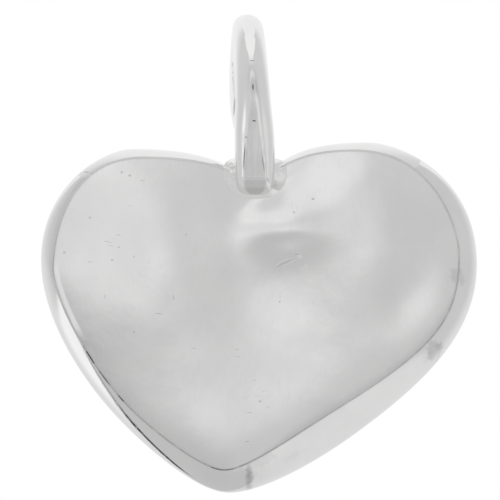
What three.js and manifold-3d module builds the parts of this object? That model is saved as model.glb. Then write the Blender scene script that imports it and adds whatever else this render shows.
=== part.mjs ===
// Hammered heart pendant: a hollow heart raised from sterling silver sheet, with a forged loop to hang it by.
// Millimetres. X runs across the heart, Y from its face to its back, Z up. The origin is the point
// inside the crown of the loop where a chain bears.
// The heart is modelled about its own centre, with its widest girth in the plane Y = 0.

import * as THREE from 'three';
import { mergeVertices } from 'three/addons/utils/BufferGeometryUtils.js';
import Module from 'manifold-3d';

const wasm = await Module();
wasm.setup();

// The heart's own size, from flank to flank and from the right crown to the tip
const heartWidth = 30.05;
const heartHeight = 24.35;

// Hand-drawn outlines, stretched to that size. Each knot has its place, its direction in degrees, and
// how far the curve keeps that direction before and after it. They run from the cleft over the left
// lobe to the tip and back.
const girthKnots = [
  { name: 'cleft', x: -0.1, z: 8.75, angle: 180, before: 1.9, after: 1.9 },
  { name: 'left crown', x: -8.5, z: 10.5, angle: 180, before: 6.2, after: 1.9 },
  { name: 'left flank', x: -14.75, z: 2.8, angle: 270, before: 5.2, after: 3.8 },
  { name: 'lower left side', x: -9.15, z: -8.5, angle: 314, before: 4.3, after: 2.2 },
  { name: 'tip', x: -1.8, z: -13.4, angle: 360, before: 2.2, after: 2.6 },
  { name: 'lower right side', x: 6.55, z: -9.55, angle: 396, before: 1.9, after: 6.6 },
  { name: 'right flank', x: 15.3, z: 2.5, angle: 450, before: 4.7, after: 6.4 },
  { name: 'right crown', x: 7.9, z: 10.95, angle: 540, before: 1.9, after: 6.3 },
];
const faceKnots = [
  { name: 'cleft', x: -0.1, z: 8.05, angle: 180, before: 2.1, after: 1.5 },
  { name: 'left crown', x: -7.7, z: 9.4, angle: 180, before: 5.4, after: 5.5 },
  { name: 'left flank', x: -13.85, z: 1.6, angle: 270, before: 1.8, after: 1.5 },
  { name: 'lower left side', x: -8.6, z: -7.95, angle: 314, before: 4.5, after: 2.0 },
  { name: 'tip', x: -2.1, z: -12.3, angle: 360, before: 1.5, after: 1.5 },
  { name: 'lower right side', x: 5.75, z: -7.95, angle: 392, before: 3.5, after: 8.0 },
  { name: 'right flank', x: 14.0, z: 2.7, angle: 450, before: 4.4, after: 1.5 },
  { name: 'right crown', x: 6.9, z: 9.9, angle: 540, before: 5.6, after: 5.1 },
];
const facetLength = 0.92;
const knotSpread = (axis) => {
  const places = girthKnots.map((knot) => knot[axis]);
  return Math.max(...places) - Math.min(...places);
};
const stretchX = heartWidth / knotSpread('x');
const stretchZ = heartHeight / knotSpread('z');

// The rounded side wall: how deep it reaches before and behind the girth, and how steeply it
// leaves the face and the back, as the angle of its arc there.
const faceDepth = 3.0;
const backDepth = 2.0;
const backInset = 1.2;
const faceShoulder = THREE.MathUtils.degToRad(41);
const backShoulder = THREE.MathUtils.degToRad(30);
const faceArcSteps = 6;
const backArcSteps = 4;
const wallThickness = 0.8;
const wallLand = 0.1;
const plateLedge = 0.4;

// Sheets and solder. A seam is the room between a sheet and the wall, and solder fills it
// but for the clearance on each side.
const facePlateThickness = 0.9;
const backPlateThickness = 0.9;
const seamWidth = 0.12;
const seamRecess = 0.03;
const clearance = 0.02;
const jointFromTip = 1.4;
const jointWidth = 0.16;
const ventDiameter = 0.9;
const ventBelowCentre = 4.5;
const ventSides = 16;

// The dished face: how far its middle sinks, how far from the rim that takes, and the broad marks of
// the hammer, which fade out near the rim. A positive depth is a hollow, a negative one a swelling.
const dishCentre = { x: -0.3 * stretchX, z: -0.6 * stretchZ };
const dishDepth = 0.6;
const dishFall = 4.4;
const markFall = 1.5;
const rimTouch = 0.05;
const hammerMarks = [
  { name: 'dimple under the cleft', x: 2.2, z: 4.8, across: 2.8, along: 1.8, turn: 3, depth: 0.34 },
  { name: 'knob in the middle', x: 2.2, z: 0.1, across: 3.0, along: 2.8, turn: 0, depth: -0.12 },
  { name: 'left lobe', x: -6.2, z: 3.2, across: 3.0, along: 4.3, turn: 3, depth: 0.25 },
  { name: 'left of the dimple', x: -2.8, z: 4.6, across: 1.8, along: 4.0, turn: 6, depth: 0.07 },
  { name: 'ridge in the right lobe', x: 7.5, z: 5.2, across: 1.8, along: 3.3, turn: -17, depth: -0.13 },
  { name: 'right lobe', x: 7.6, z: 6.0, across: 2.8, along: 4.7, turn: -13, depth: 0.32 },
  { name: 'ridge at the right flank', x: 10.4, z: -0.4, across: 1.7, along: 2.7, turn: -38, depth: -0.14 },
  { name: 'above the tip', x: -1.3, z: -7.1, across: 3.6, along: 2.5, turn: -7, depth: -0.06 },
  { name: 'lower right swell', x: 2.4, z: -4.7, across: 4.5, along: 3.2, turn: 28, depth: -0.14 },
  { name: 'left flank', x: -7.9, z: -1.8, across: 2.9, along: 3.2, turn: 49, depth: 0.09 },
  { name: 'lip at the cleft', x: 1.2, z: 7.7, across: 2.7, along: 1.0, turn: 35, depth: -0.21 },
  { name: 'middle swell', x: -0.9, z: -1.1, across: 2.6, along: 3.6, turn: 2, depth: -0.12 },
];
const faceRings = [0.985, 0.95, 0.9, 0.84, 0.76, 0.67, 0.57, 0.46, 0.34, 0.22, 0.1];
const undersideRings = [0.95, 0.84, 0.67, 0.46, 0.22];

// The loop: a wire forged flat at its front foot, standing on the face below the cleft, and
// tapering over the crown to its rear foot on the back sheet. Stations give a share of the loop's
// length from the front foot, and the value there.
const eyeHeight = 9.25;
const crownRise = 5.25;
const legBow = 0.35;
const frontFootLap = 1.95;
const rearFootLap = 3.15;
const footRounding = 1.1;
const loopWidth = [[0, 2.5], [0.12, 2.76], [0.25, 2.42], [0.36, 2.25], [0.48, 2.06], [0.75, 1.85], [1, 2.0]];
const loopThickness = [[0, 1.5], [0.12, 1.7], [0.48, 1.9], [0.8, 1.65], [1, 1.4]];
const loopFacet = [[0, 0.17], [0.05, 0.15], [0.12, 0.095], [0.2, 0.045], [0.27, 0.016], [0.33, 0], [1, 0]];
const crownShare = 0.48;
const crownLean = -0.55;
const loopLean = [
  [0, 0], [0.17, -0.05], [0.35, -0.3], [crownShare, crownLean],
  [0.62, -0.82], [0.68, -0.77], [0.75, -0.42], [0.84, -0.12], [0.93, 0], [1, 0],
];
const loopSides = 16;
const loopStep = 0.75;
const legSteps = 8;
const crownSteps = 16;
const footSteps = 5;

// The solder that holds the two feet: how far below the cleft its middle is, how far each fillet
// spreads round its foot, and how high it climbs up it.
const frontFillet = { belowCleft: 0.45, side: 2.15, below: 1.8, above: 1.25, climb: 1.0, sunk: 0.9 };
const rearFillet = { belowCleft: 1.85, side: 1.75, below: 1.75, above: 1.0, climb: 0.8, sunk: 0.3 };
const filletSides = 32;
const filletRings = [1, 0.94, 0.87, 0.79, 0.7, 0.6];
const filletCurve = 1.6;

const silver = { color: 0xdcdcda, roughness: 0.18, metalness: 1 };
const solder = { color: 0xb9b6ae, roughness: 0.32, metalness: 1 };

// Curves and surfaces

function smoothAlong(stations, share) {
  const last = stations.length - 1;
  let i = 0;
  while (i < last - 1 && share > stations[i + 1][0]) i += 1;
  const slope = (a, b) => (stations[b][1] - stations[a][1]) / (stations[b][0] - stations[a][0]);
  const slopeAt = (j) => slope(Math.max(j - 1, 0), Math.min(j + 1, last));
  const [start, startValue] = stations[i];
  const [end, endValue] = stations[i + 1];
  const run = end - start;
  const t = THREE.MathUtils.clamp((share - start) / run, 0, 1);
  return startValue * (1 + 2 * t) * (1 - t) ** 2 + endValue * t * t * (3 - 2 * t)
    + run * (slopeAt(i) * t * (1 - t) ** 2 - slopeAt(i + 1) * t * t * (1 - t));
}

function outlineCurves(knots) {
  return knots.map((knot, i) => {
    const next = knots[(i + 1) % knots.length];
    const leave = THREE.MathUtils.degToRad(knot.angle);
    const arrive = THREE.MathUtils.degToRad(next.angle);
    const drawn = (x, z) => new THREE.Vector2(x * stretchX, z * stretchZ);
    const curve = new THREE.CubicBezierCurve(
      drawn(knot.x, knot.z),
      drawn(knot.x + Math.cos(leave) * knot.after, knot.z + Math.sin(leave) * knot.after),
      drawn(next.x - Math.cos(arrive) * next.before, next.z - Math.sin(arrive) * next.before),
      drawn(next.x, next.z),
    );
    curve.arcLengthDivisions = 400;
    return curve;
  });
}

// The places along the outline that every ring shares: even steps on each stretch between knots,
// and two more pairs at the joint of the side wall, just past the tip.
function stepsRound(curves) {
  const tip = girthKnots.findIndex((knot) => knot.name === 'tip');
  const steps = [];
  curves.forEach((curve, stretch) => {
    const length = curve.getLength();
    const count = Math.round(length / facetLength);
    for (let j = 0; j < count; j += 1) steps.push({ stretch, share: j / count });
    if (stretch === tip) {
      const half = jointWidth / 2;
      const places = [-half - clearance, -half, half, half + clearance];
      places.forEach((offset, side) => {
        steps.push({ stretch, share: (jointFromTip + offset) / length, joint: side });
      });
    }
  });
  steps.sort((a, b) => a.stretch + a.share - b.stretch - b.share);
  return steps;
}

function outlinePoints(knots, steps) {
  const curves = outlineCurves(knots);
  return steps.map(({ stretch, share }) => {
    const place = curves[stretch].getPointAt(share);
    const along = curves[stretch].getTangentAt(share);
    return { x: place.x, z: place.y, outX: along.y, outZ: -along.x };
  });
}

function ringPoint(from, to, share, inset, y) {
  const x = THREE.MathUtils.lerp(from.x - from.outX * inset, to.x - to.outX * inset, share);
  const z = THREE.MathUtils.lerp(from.z - from.outZ * inset, to.z - to.outZ * inset, share);
  return new THREE.Vector3(x, y, z);
}

function hammerDepth(x, z) {
  return hammerMarks.reduce((sum, mark) => {
    const turn = THREE.MathUtils.degToRad(mark.turn);
    const dx = x / stretchX - mark.x;
    const dz = z / stretchZ - mark.z;
    const u = (dx * Math.cos(turn) + dz * Math.sin(turn)) / mark.across;
    const v = (dz * Math.cos(turn) - dx * Math.sin(turn)) / mark.along;
    return sum + mark.depth * Math.exp(-(u * u + v * v));
  }, 0);
}

// How far a place on the face is from the rim, eased so that no ridge forms in the middle.
function fromRim(x, z) {
  let pull = 0;
  faceEdge.forEach((a, i) => {
    const b = faceEdge[(i + 1) % faceEdge.length];
    const away = Math.hypot(x - (a.x + b.x) / 2, z - (a.z + b.z) / 2);
    pull += Math.hypot(b.x - a.x, b.z - a.z) / Math.max(away, rimTouch) ** 3;
  });
  return Math.sqrt(2 / pull);
}

function insideRim(x, z) {
  let inside = false;
  faceEdge.forEach((a, i) => {
    const b = faceEdge[(i + 1) % faceEdge.length];
    if (a.z > z === b.z > z) return;
    if (x < a.x + (b.x - a.x) * (z - a.z) / (b.z - a.z)) inside = !inside;
  });
  return inside;
}

// The front of the face, which is level with its rim outside it.
function faceSurface(x, z) {
  if (!insideRim(x, z)) return -faceDepth;
  const away = fromRim(x, z);
  const dish = dishDepth * (1 - Math.exp(-away / dishFall));
  return -faceDepth + dish + hammerDepth(x, z) * (1 - Math.exp(-away / markFall));
}

function facePoint(rim, reach) {
  const x = THREE.MathUtils.lerp(dishCentre.x, rim.x, reach);
  const z = THREE.MathUtils.lerp(dishCentre.z, rim.z, reach);
  return new THREE.Vector3(x, faceSurface(x, z), z);
}

// Joins sections point to point into one closed skin. A round skin joins its last section to its
// first, and any other gets a cap at each end. An open section starts and ends on a shared pole.
function skin(sections, { round = false, openSection = false } = {}) {
  const size = sections[0].length;
  const positions = sections.flat().flatMap((point) => [point.x, point.y, point.z]);
  const faces = [];
  const wraps = round ? sections.length : sections.length - 1;
  const sides = openSection ? size - 1 : size;
  for (let i = 0; i < wraps; i += 1) {
    const j = (i + 1) % sections.length;
    for (let k = 0; k < sides; k += 1) {
      const next = (k + 1) % size;
      faces.push([i * size + k, j * size + k, j * size + next]);
      faces.push([i * size + k, j * size + next, i * size + next]);
    }
  }
  if (!round) {
    const end = (sections.length - 1) * size;
    capFaces(sections[0]).forEach(([a, b, c]) => faces.push([a, b, c]));
    capFaces(sections.at(-1)).forEach(([a, b, c]) => faces.push([end + a, end + c, end + b]));
  }
  return closedGeometry(positions, faces);
}

function capFaces(section) {
  const u = new THREE.Vector3().subVectors(section[0], section[Math.floor(section.length / 2)]).normalize();
  const normal = new THREE.Vector3();
  section.forEach((point, i) => {
    const next = section[(i + 1) % section.length];
    normal.add(new THREE.Vector3().crossVectors(point, next));
  });
  const v = new THREE.Vector3().crossVectors(normal.normalize(), u);
  const flat = section.map((point) => new THREE.Vector2(point.dot(u), point.dot(v)));
  return THREE.ShapeUtils.triangulateShape(flat, []);
}

function closedGeometry(positions, faces) {
  const loose = new THREE.BufferGeometry();
  loose.setAttribute('position', new THREE.Float32BufferAttribute(positions, 3));
  loose.setIndex(faces.flat());
  const merged = mergeVertices(loose);
  const index = merged.index.array;
  const kept = [];
  for (let i = 0; i < index.length; i += 3) {
    const [a, b, c] = index.slice(i, i + 3);
    if (a !== b && b !== c && c !== a) kept.push(a, b, c);
  }
  merged.setIndex(kept);
  if (signedVolume(merged) < 0) merged.setIndex(kept.reverse());
  merged.computeVertexNormals();
  return merged;
}

function signedVolume(geometry) {
  const position = geometry.attributes.position;
  const index = geometry.index.array;
  const [a, b, c] = [new THREE.Vector3(), new THREE.Vector3(), new THREE.Vector3()];
  let sum = 0;
  for (let i = 0; i < index.length; i += 3) {
    a.fromBufferAttribute(position, index[i]);
    b.fromBufferAttribute(position, index[i + 1]);
    c.fromBufferAttribute(position, index[i + 2]);
    sum += a.dot(b.cross(c)) / 6;
  }
  return sum;
}

// Booleans

function toSolid(geometry) {
  const bare = geometry.clone();
  bare.deleteAttribute('normal');
  bare.deleteAttribute('uv');
  const merged = mergeVertices(bare);
  return new wasm.Manifold(new wasm.Mesh({
    numProp: 3,
    vertProperties: new Float32Array(merged.attributes.position.array),
    triVerts: new Uint32Array(merged.index.array),
  }));
}

function fromSolid(solid) {
  const mesh = solid.getMesh();
  const geometry = new THREE.BufferGeometry();
  geometry.setAttribute('position', new THREE.Float32BufferAttribute(mesh.vertProperties, 3));
  geometry.setIndex(Array.from(mesh.triVerts));
  geometry.computeVertexNormals();
  return geometry;
}

// The outlines that all pieces share

const steps = stepsRound(outlineCurves(girthKnots));
const girth = outlinePoints(girthKnots, steps);
const faceEdge = outlinePoints(faceKnots, steps);
const backEdge = girth.map((point) => ({
  ...point,
  x: point.x - point.outX * backInset,
  z: point.z - point.outZ * backInset,
}));
const facePlateRim = faceEdge.map((point) => ringPoint(point, point, 0, wallLand + seamWidth, -faceDepth));
const cleftHeight = girth[0].z;

// The outside of the wall at one step round the heart, from the face edge over the girth to the
// back edge. With a growth it lies that much further out.
function wallOutside(i, growth = 0) {
  const points = [];
  const leanIn = Math.sin(faceShoulder);
  for (let k = 0; k <= faceArcSteps; k += 1) {
    const angle = THREE.MathUtils.lerp(faceShoulder, Math.PI / 2, k / faceArcSteps);
    const share = (Math.sin(angle) - leanIn) / (1 - leanIn);
    const y = -(faceDepth + growth) * Math.cos(angle) / Math.cos(faceShoulder);
    points.push(ringPoint(faceEdge[i], girth[i], share, -growth, y));
  }
  const leanBack = Math.sin(backShoulder);
  for (let k = 1; k <= backArcSteps; k += 1) {
    const angle = THREE.MathUtils.lerp(Math.PI / 2, backShoulder, k / backArcSteps);
    const share = (1 - Math.sin(angle)) / (1 - leanBack);
    const y = (backDepth + growth) * Math.cos(angle) / Math.cos(backShoulder);
    points.push(ringPoint(girth[i], backEdge[i], share, -growth, y));
  }
  return points;
}

// The ledge under the face plate follows the plate's dished underside.
function underFace(point) {
  return point.setY(faceSurface(point.x, point.z) + facePlateThickness + clearance);
}

// The whole section of the wall: its outside, then the seats of the two sheets and the inside.
function wallSection(i) {
  const faceSeat = wallLand;
  const backSeat = wallLand;
  const faceLedge = faceSeat + seamWidth + plateLedge;
  const backLedge = backSeat + seamWidth + plateLedge;
  const faceSeatY = -faceDepth + facePlateThickness + clearance;
  const backSeatY = backDepth - backPlateThickness - clearance;
  const halfwayIn = (wallThickness + backInset + backLedge) / 2;
  return [
    ...wallOutside(i),
    ringPoint(backEdge[i], backEdge[i], 0, backSeat, backDepth),
    ringPoint(backEdge[i], backEdge[i], 0, backSeat, backSeatY),
    ringPoint(backEdge[i], backEdge[i], 0, backLedge, backSeatY),
    ringPoint(girth[i], girth[i], 0, halfwayIn, backSeatY / 2),
    ringPoint(girth[i], girth[i], 0, wallThickness, 0),
    ringPoint(faceEdge[i], girth[i], 0.5, wallThickness, faceSeatY / 2),
    underFace(ringPoint(faceEdge[i], faceEdge[i], 0, faceLedge, 0)),
    ringPoint(faceEdge[i], faceEdge[i], 0, faceSeat, faceSeatY),
    ringPoint(faceEdge[i], faceEdge[i], 0, faceSeat, -faceDepth),
  ];
}

// Sub-parts

// The wall runs once round the heart, from one side of its joint to the other.
function sideWall() {
  const start = steps.findIndex((step) => step.joint === 3);
  const stepsInJoint = 2;
  const sections = [];
  for (let n = 0; n < steps.length - stepsInJoint; n += 1) {
    sections.push(wallSection((start + n) % steps.length));
  }
  return skin(sections);
}

function wallJointSolder() {
  const sides = [1, 2].map((side) => steps.findIndex((step) => step.joint === side));
  return skin(sides.map(wallSection));
}

function facePlate() {
  const sections = facePlateRim.map((rim) => {
    const front = faceRings.map((reach) => facePoint(rim, reach)).reverse();
    const underside = undersideRings.map((reach) => facePoint(rim, reach));
    underside.forEach((point) => { point.y += facePlateThickness; });
    const centre = facePoint(rim, 0);
    const centreBack = centre.clone().setY(centre.y + facePlateThickness);
    const rimBack = rim.clone().setY(rim.y + facePlateThickness);
    return [centre, ...front, rim, rimBack, ...underside, centreBack];
  });
  return skin(sections, { round: true, openSection: true });
}

function backPlate() {
  const rim = backEdge.map((point) => ringPoint(point, point, 0, wallLand + seamWidth, 0));
  const shape = new THREE.Shape(rim.map((point) => new THREE.Vector2(point.x, point.z)));
  const vent = new THREE.Path();
  vent.absarc(dishCentre.x, dishCentre.z - ventBelowCentre, ventDiameter / 2, 0, Math.PI * 2, true);
  shape.holes.push(vent);
  const sheet = new THREE.ExtrudeGeometry(shape, {
    depth: backPlateThickness, bevelEnabled: false, steps: 1, curveSegments: ventSides,
  });
  sheet.rotateX(Math.PI / 2);
  sheet.translate(0, backDepth, 0);
  return fromSolid(toSolid(sheet));
}

// A thin band of solder that fills the seam between a sheet and the wall, a little below the surface.
function seamSolder(edge, front, back) {
  const outer = wallLand + clearance;
  const inner = wallLand + seamWidth - clearance;
  const sections = edge.map((point) => [
    ringPoint(point, point, 0, outer, front),
    ringPoint(point, point, 0, inner, front),
    ringPoint(point, point, 0, inner, back),
    ringPoint(point, point, 0, outer, back),
  ]);
  return skin(sections, { round: true });
}

// The line along the inside of the loop: straight up from the face, half an ellipse over the eye, and
// straight down to the back sheet.
function loopInside() {
  const frontY = -faceDepth - clearance;
  const backY = backDepth + clearance;
  const springHeight = cleftHeight + eyeHeight - crownRise;
  const middle = (frontY + backY) / 2;
  const reach = (backY - frontY) / 2 + legBow;
  const points = [];
  const leg = (footLap, y, side, share) => {
    const height = THREE.MathUtils.lerp(cleftHeight - footLap, springHeight, share);
    const bow = legBow * THREE.MathUtils.smoothstep(height, cleftHeight, springHeight);
    return new THREE.Vector3(0, y + side * bow, height);
  };
  for (let k = 0; k < legSteps; k += 1) points.push(leg(frontFootLap, frontY, -1, k / legSteps));
  for (let k = 0; k <= crownSteps; k += 1) {
    const angle = Math.PI * k / crownSteps;
    const y = middle - reach * Math.cos(angle);
    points.push(new THREE.Vector3(0, y, springHeight + crownRise * Math.sin(angle)));
  }
  for (let k = legSteps - 1; k >= 0; k -= 1) points.push(leg(rearFootLap, backY, 1, k / legSteps));
  return new THREE.CatmullRomCurve3(points, false, 'centripetal');
}

function loopSection(inside, length, distance, growth) {
  const share = THREE.MathUtils.clamp(distance / length, 0, 1);
  const place = inside.getPointAt(share);
  place.x = smoothAlong(loopLean, share);
  const along = inside.getTangentAt(share);
  const side = new THREE.Vector3(1, 0, 0);
  const outward = new THREE.Vector3().crossVectors(side, along);
  const fromEnd = Math.min(distance, length - distance);
  const rounding = Math.sqrt(1 - (1 - Math.min(fromEnd / footRounding, 1)) ** 2);
  const halfWidth = smoothAlong(loopWidth, share) / 2 * rounding + growth;
  const thickness = smoothAlong(loopThickness, share) * rounding;
  const facet = smoothAlong(loopFacet, share) * rounding;
  const points = [];
  for (let k = 0; k < loopSides; k += 1) {
    const angle = 2 * Math.PI * (k + 0.5) / loopSides;
    const rise = Math.min(thickness * (1 + Math.sin(angle)) / 2, thickness - facet);
    const grown = rise + growth * Math.sign(Math.sin(angle));
    const point = place.clone().addScaledVector(side, halfWidth * Math.cos(angle));
    points.push(point.addScaledVector(outward, grown));
  }
  return points;
}

function loop(growth = 0) {
  const inside = loopInside();
  const length = inside.getLength();
  const ends = [];
  for (let k = 1; k < footSteps; k += 1) {
    ends.push(footRounding * (1 - Math.cos(k / footSteps * Math.PI / 2)));
  }
  const straight = length - 2 * footRounding;
  const count = Math.round(straight / loopStep);
  const distances = [...ends];
  for (let k = 0; k <= count; k += 1) distances.push(footRounding + straight * k / count);
  ends.reverse().forEach((distance) => distances.push(length - distance));
  return skin(distances.map((distance) => loopSection(inside, length, distance, growth)));
}

// The outside of the soldered heart as one block, grown by the clearance, for cutting the fillets.
function heartBlock(growth) {
  const backCentre = new THREE.Vector3(dishCentre.x, backDepth + growth, dishCentre.z);
  const sections = facePlateRim.map((rim, i) => {
    const front = faceRings.map((reach) => facePoint(rim, reach)).reverse();
    front.forEach((point) => { point.y -= growth; });
    const centre = facePoint(rim, 0);
    centre.y -= growth;
    const grownRim = rim.clone().setY(rim.y - growth);
    return [centre, ...front, grownRim, ...wallOutside(i, growth), backCentre];
  });
  return skin(sections, { round: true, openSection: true });
}

// A fillet spread round a foot: level with the surface at its edge and climbing towards the loop.
// The surface is where it lies at each place, and outward is -1 on the face and 1 on the back.
function filletBlank(fillet, surfaceAt, outward) {
  const sections = [];
  const middle = { x: 0, z: cleftHeight - fillet.belowCleft };
  for (let k = 0; k < filletSides; k += 1) {
    const angle = 2 * Math.PI * k / filletSides;
    const reachZ = Math.sin(angle) > 0 ? fillet.above : fillet.below;
    const at = (share, rise) => {
      const x = middle.x + fillet.side * share * Math.cos(angle);
      const z = middle.z + reachZ * share * Math.sin(angle);
      return new THREE.Vector3(x, surfaceAt(x, z) + outward * rise, z);
    };
    const edgeShare = filletRings[0];
    const innerShare = filletRings.at(-1);
    const top = filletRings.map((share) => {
      const climb = (edgeShare - share) / (edgeShare - innerShare);
      return at(share, fillet.climb * climb ** filletCurve + clearance);
    });
    const level = surfaceAt(middle.x, middle.z);
    const peak = new THREE.Vector3(middle.x, level + outward * fillet.climb, middle.z);
    const root = new THREE.Vector3(middle.x, level - outward * fillet.sunk, middle.z);
    sections.push([root, at(edgeShare, -fillet.sunk), ...top, peak]);
  }
  return skin(sections, { round: true, openSection: true });
}

function footSolder(blank) {
  const heart = toSolid(heartBlock(clearance));
  const wire = toSolid(loop(clearance));
  return fromSolid(toSolid(blank).subtract(heart).subtract(wire));
}

// Assembly

function named(name, geometry, finish) {
  const mesh = new THREE.Mesh(geometry, new THREE.MeshStandardMaterial(finish));
  mesh.name = name;
  return mesh;
}

const faceUnderY = -faceDepth + facePlateThickness;
const backUnderY = backDepth - backPlateThickness;
const heart = new THREE.Group();
heart.add(
  named('face_plate', facePlate(), silver),
  named('side_wall', sideWall(), silver),
  named('back_plate', backPlate(), silver),
  named('bail_loop', loop(), silver),
  named('face_seam_solder', seamSolder(faceEdge, -faceDepth + seamRecess, faceUnderY), solder),
  named('back_seam_solder', seamSolder(backEdge, backUnderY, backDepth - seamRecess), solder),
  named('wall_joint_solder', wallJointSolder(), solder),
  named('front_foot_solder', footSolder(filletBlank(frontFillet, faceSurface, -1)), solder),
  named('rear_foot_solder', footSolder(filletBlank(rearFillet, () => backDepth, 1)), solder),
);

// The chain bears inside the crown of the loop, and that point is the origin.
heart.position.set(-crownLean, (faceDepth - backDepth) / 2, -(cleftHeight + eyeHeight));

const pendant = new THREE.Group();
pendant.add(heart);

export default pendant;
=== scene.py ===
import math

import bmesh
import bpy
import numpy as np
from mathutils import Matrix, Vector, noise
from mathutils.bvhtree import BVHTree
from mathutils.kdtree import KDTree


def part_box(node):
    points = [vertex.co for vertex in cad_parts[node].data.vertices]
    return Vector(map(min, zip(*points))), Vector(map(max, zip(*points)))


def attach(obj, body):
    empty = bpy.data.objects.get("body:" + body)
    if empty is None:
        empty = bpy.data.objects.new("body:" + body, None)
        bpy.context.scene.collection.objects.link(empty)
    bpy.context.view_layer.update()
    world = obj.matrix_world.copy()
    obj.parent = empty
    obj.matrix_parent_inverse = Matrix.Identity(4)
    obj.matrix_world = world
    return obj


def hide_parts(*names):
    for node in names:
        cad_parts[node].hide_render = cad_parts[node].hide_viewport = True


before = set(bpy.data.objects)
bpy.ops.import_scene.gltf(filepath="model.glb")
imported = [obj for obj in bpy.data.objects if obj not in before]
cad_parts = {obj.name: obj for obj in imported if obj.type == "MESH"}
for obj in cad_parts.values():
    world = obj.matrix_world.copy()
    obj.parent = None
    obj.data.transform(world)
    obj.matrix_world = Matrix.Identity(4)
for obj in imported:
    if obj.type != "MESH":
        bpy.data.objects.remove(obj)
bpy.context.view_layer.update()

# Hammered heart pendant: the fine form and the polished finish of each piece of silver and solder.
# Sizes are in millimetres about the heart's own centre, and in_frame() puts them where the frame has them.

MM = 0.001

# Outlines: name, place across and up, direction in degrees, and how far the curve keeps that
# direction before and after the knot.
GIRTH_KNOTS = [
    ("cleft", -0.1, 8.75, 180, 1.9, 1.9),
    ("left crown", -8.5, 10.5, 180, 6.2, 1.9),
    ("left flank", -14.75, 2.8, 270, 5.2, 3.8),
    ("lower left side", -9.15, -8.5, 314, 4.3, 2.2),
    ("tip", -1.8, -13.4, 360, 2.2, 2.6),
    ("lower right side", 6.55, -9.55, 396, 1.9, 6.6),
    ("right flank", 15.3, 2.5, 450, 4.7, 6.4),
    ("right crown", 7.9, 10.95, 540, 1.9, 6.3),
]
FACE_KNOTS = [
    ("cleft", -0.1, 8.05, 180, 2.1, 1.5),
    ("left crown", -7.7, 9.4, 180, 5.4, 5.5),
    ("left flank", -13.85, 1.6, 270, 1.8, 1.5),
    ("lower left side", -8.6, -7.95, 314, 4.5, 2.0),
    ("tip", -2.1, -12.3, 360, 1.5, 1.5),
    ("lower right side", 5.75, -7.95, 392, 3.5, 8.0),
    ("right flank", 14.0, 2.7, 450, 4.4, 1.5),
    ("right crown", 6.9, 9.9, 540, 5.6, 5.1),
]
TIP = 4
RING_STEP = 0.16
TRACE_STEPS = 400
EVEN_STEPS = 4096
EASING = 0.22
MERGE_DISTANCE = 1e-3 * MM
# The face's edge stands a little outside its knots, so that the seam follows them
EDGE_GROWTH = 0.09

# The rounded wall, its seats, and the two sheets let into it
FACE_DEPTH = 3.0
BACK_DEPTH = 2.0
BACK_INSET = 1.2
FACE_SHOULDER = math.radians(41)
BACK_SHOULDER = math.radians(30)
WALL_THICKNESS = 0.8
WALL_LAND = 0.03
PLATE_LEDGE = 0.4
PLATE_THICKNESS = 0.9
SEAM_WIDTH = 0.09
SEAM_RECESS = 0.03
SEAM_INSET = WALL_LAND + SEAM_WIDTH / 2
PLATE_INSET = WALL_LAND + SEAM_WIDTH
SEAM_UNEVENNESS = 0.02
CLEARANCE = 0.02
EDGE_RADIUS = 0.015
EDGE_STEPS = 4
JOINT_FROM_TIP = 1.4
JOINT_WIDTH = 0.16
BACK_HOLLOWS = 0.06
VENT_RADIUS = 0.45
VENT_AT = (-0.3, -5.1)
WALL_FRONT_RINGS = 26
WALL_BACK_RINGS = 16
BACK_RINGS = 24

# The dished face and the broad marks of the hammer on it: place, half sizes, turn in degrees, and
# depth, which is negative where the metal swells up between blows.
DISH_CENTRE = (-0.3, -0.6)
DISH_DEPTH = 0.6
DISH_FALL = 4.4
FACE_RINGS = 96
MARK_FALL = 1.5
HAMMER_MARKS = [
    ("dimple under the cleft", 2.2, 4.8, 2.8, 1.8, 3, 0.34),
    ("knob in the middle", 2.2, 0.1, 3.0, 2.8, 0, -0.12),
    ("left lobe", -6.2, 3.2, 3.0, 4.3, 3, 0.25),
    ("left of the dimple", -2.8, 4.6, 1.8, 4.0, 6, 0.07),
    ("ridge in the right lobe", 7.5, 5.2, 1.8, 3.3, -17, -0.13),
    ("right lobe", 7.6, 6.0, 2.8, 4.7, -13, 0.32),
    ("ridge at the right flank", 10.4, -0.4, 1.7, 2.7, -38, -0.14),
    ("above the tip", -1.3, -7.1, 3.6, 2.5, -7, -0.06),
    ("lower right swell", 2.4, -4.7, 4.5, 3.2, 28, -0.14),
    ("left flank", -7.9, -1.8, 2.9, 3.2, 49, 0.09),
    ("lip at the cleft", 1.2, 7.7, 2.7, 1.0, 35, -0.21),
    ("middle swell", -0.9, -1.1, 2.6, 3.6, 2, -0.12),
]

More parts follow.
